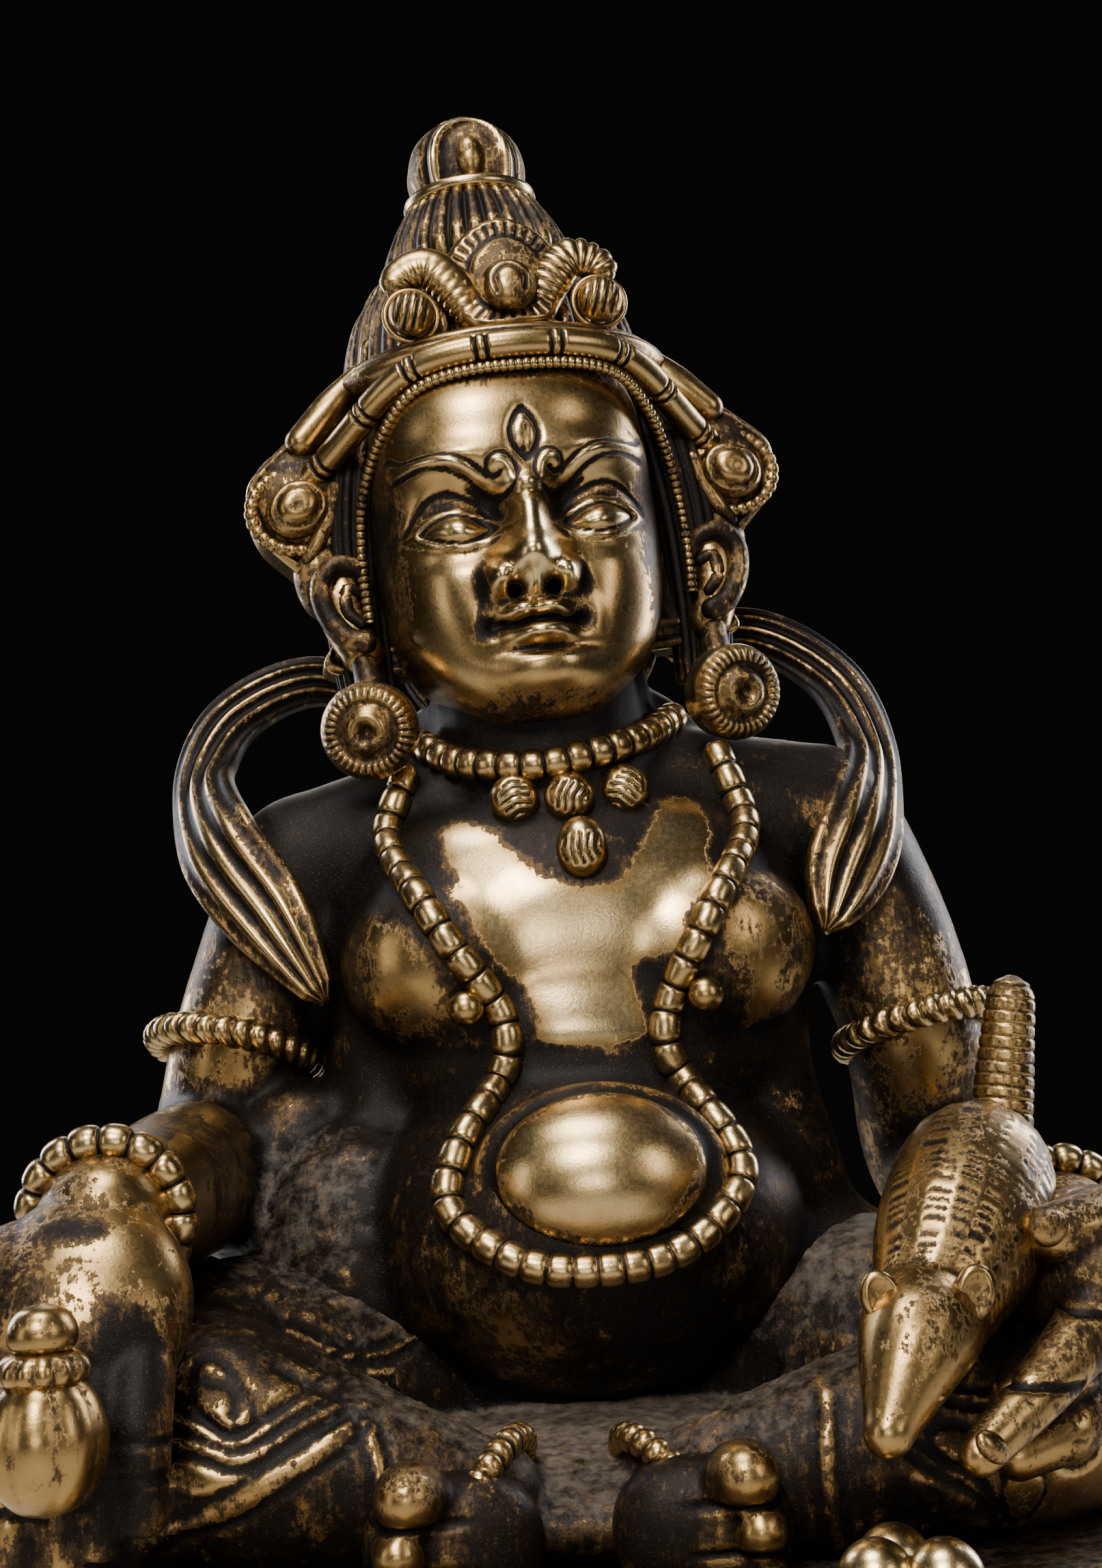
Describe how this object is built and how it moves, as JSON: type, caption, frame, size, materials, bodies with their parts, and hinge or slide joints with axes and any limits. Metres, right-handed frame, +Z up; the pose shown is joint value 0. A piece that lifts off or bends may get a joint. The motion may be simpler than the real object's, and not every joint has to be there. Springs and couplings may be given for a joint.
{
  "type": "gilt bronze vaisravana statue",
  "caption": "Seated pot-bellied guardian deity cast in aged gilt bronze, holding a citron and a jewel-spitting mongoose, on a low oval lotus base; stands by its own weight.",
  "frame": {"origin": "centre of the base's footprint, on its underside", "axes": "+Z up the figure, -Y towards its front, +X towards its own left hand with the mongoose"},
  "size_m": [0.178, 0.136, 0.2426],
  "materials": {
    "aged_gilt_bronze": "polished high points over dark brown-black patina and dust in the recesses"
  },
  "bodies": {
    "root": {"statue": "aged_gilt_bronze"}
  },
  "joints": []
}
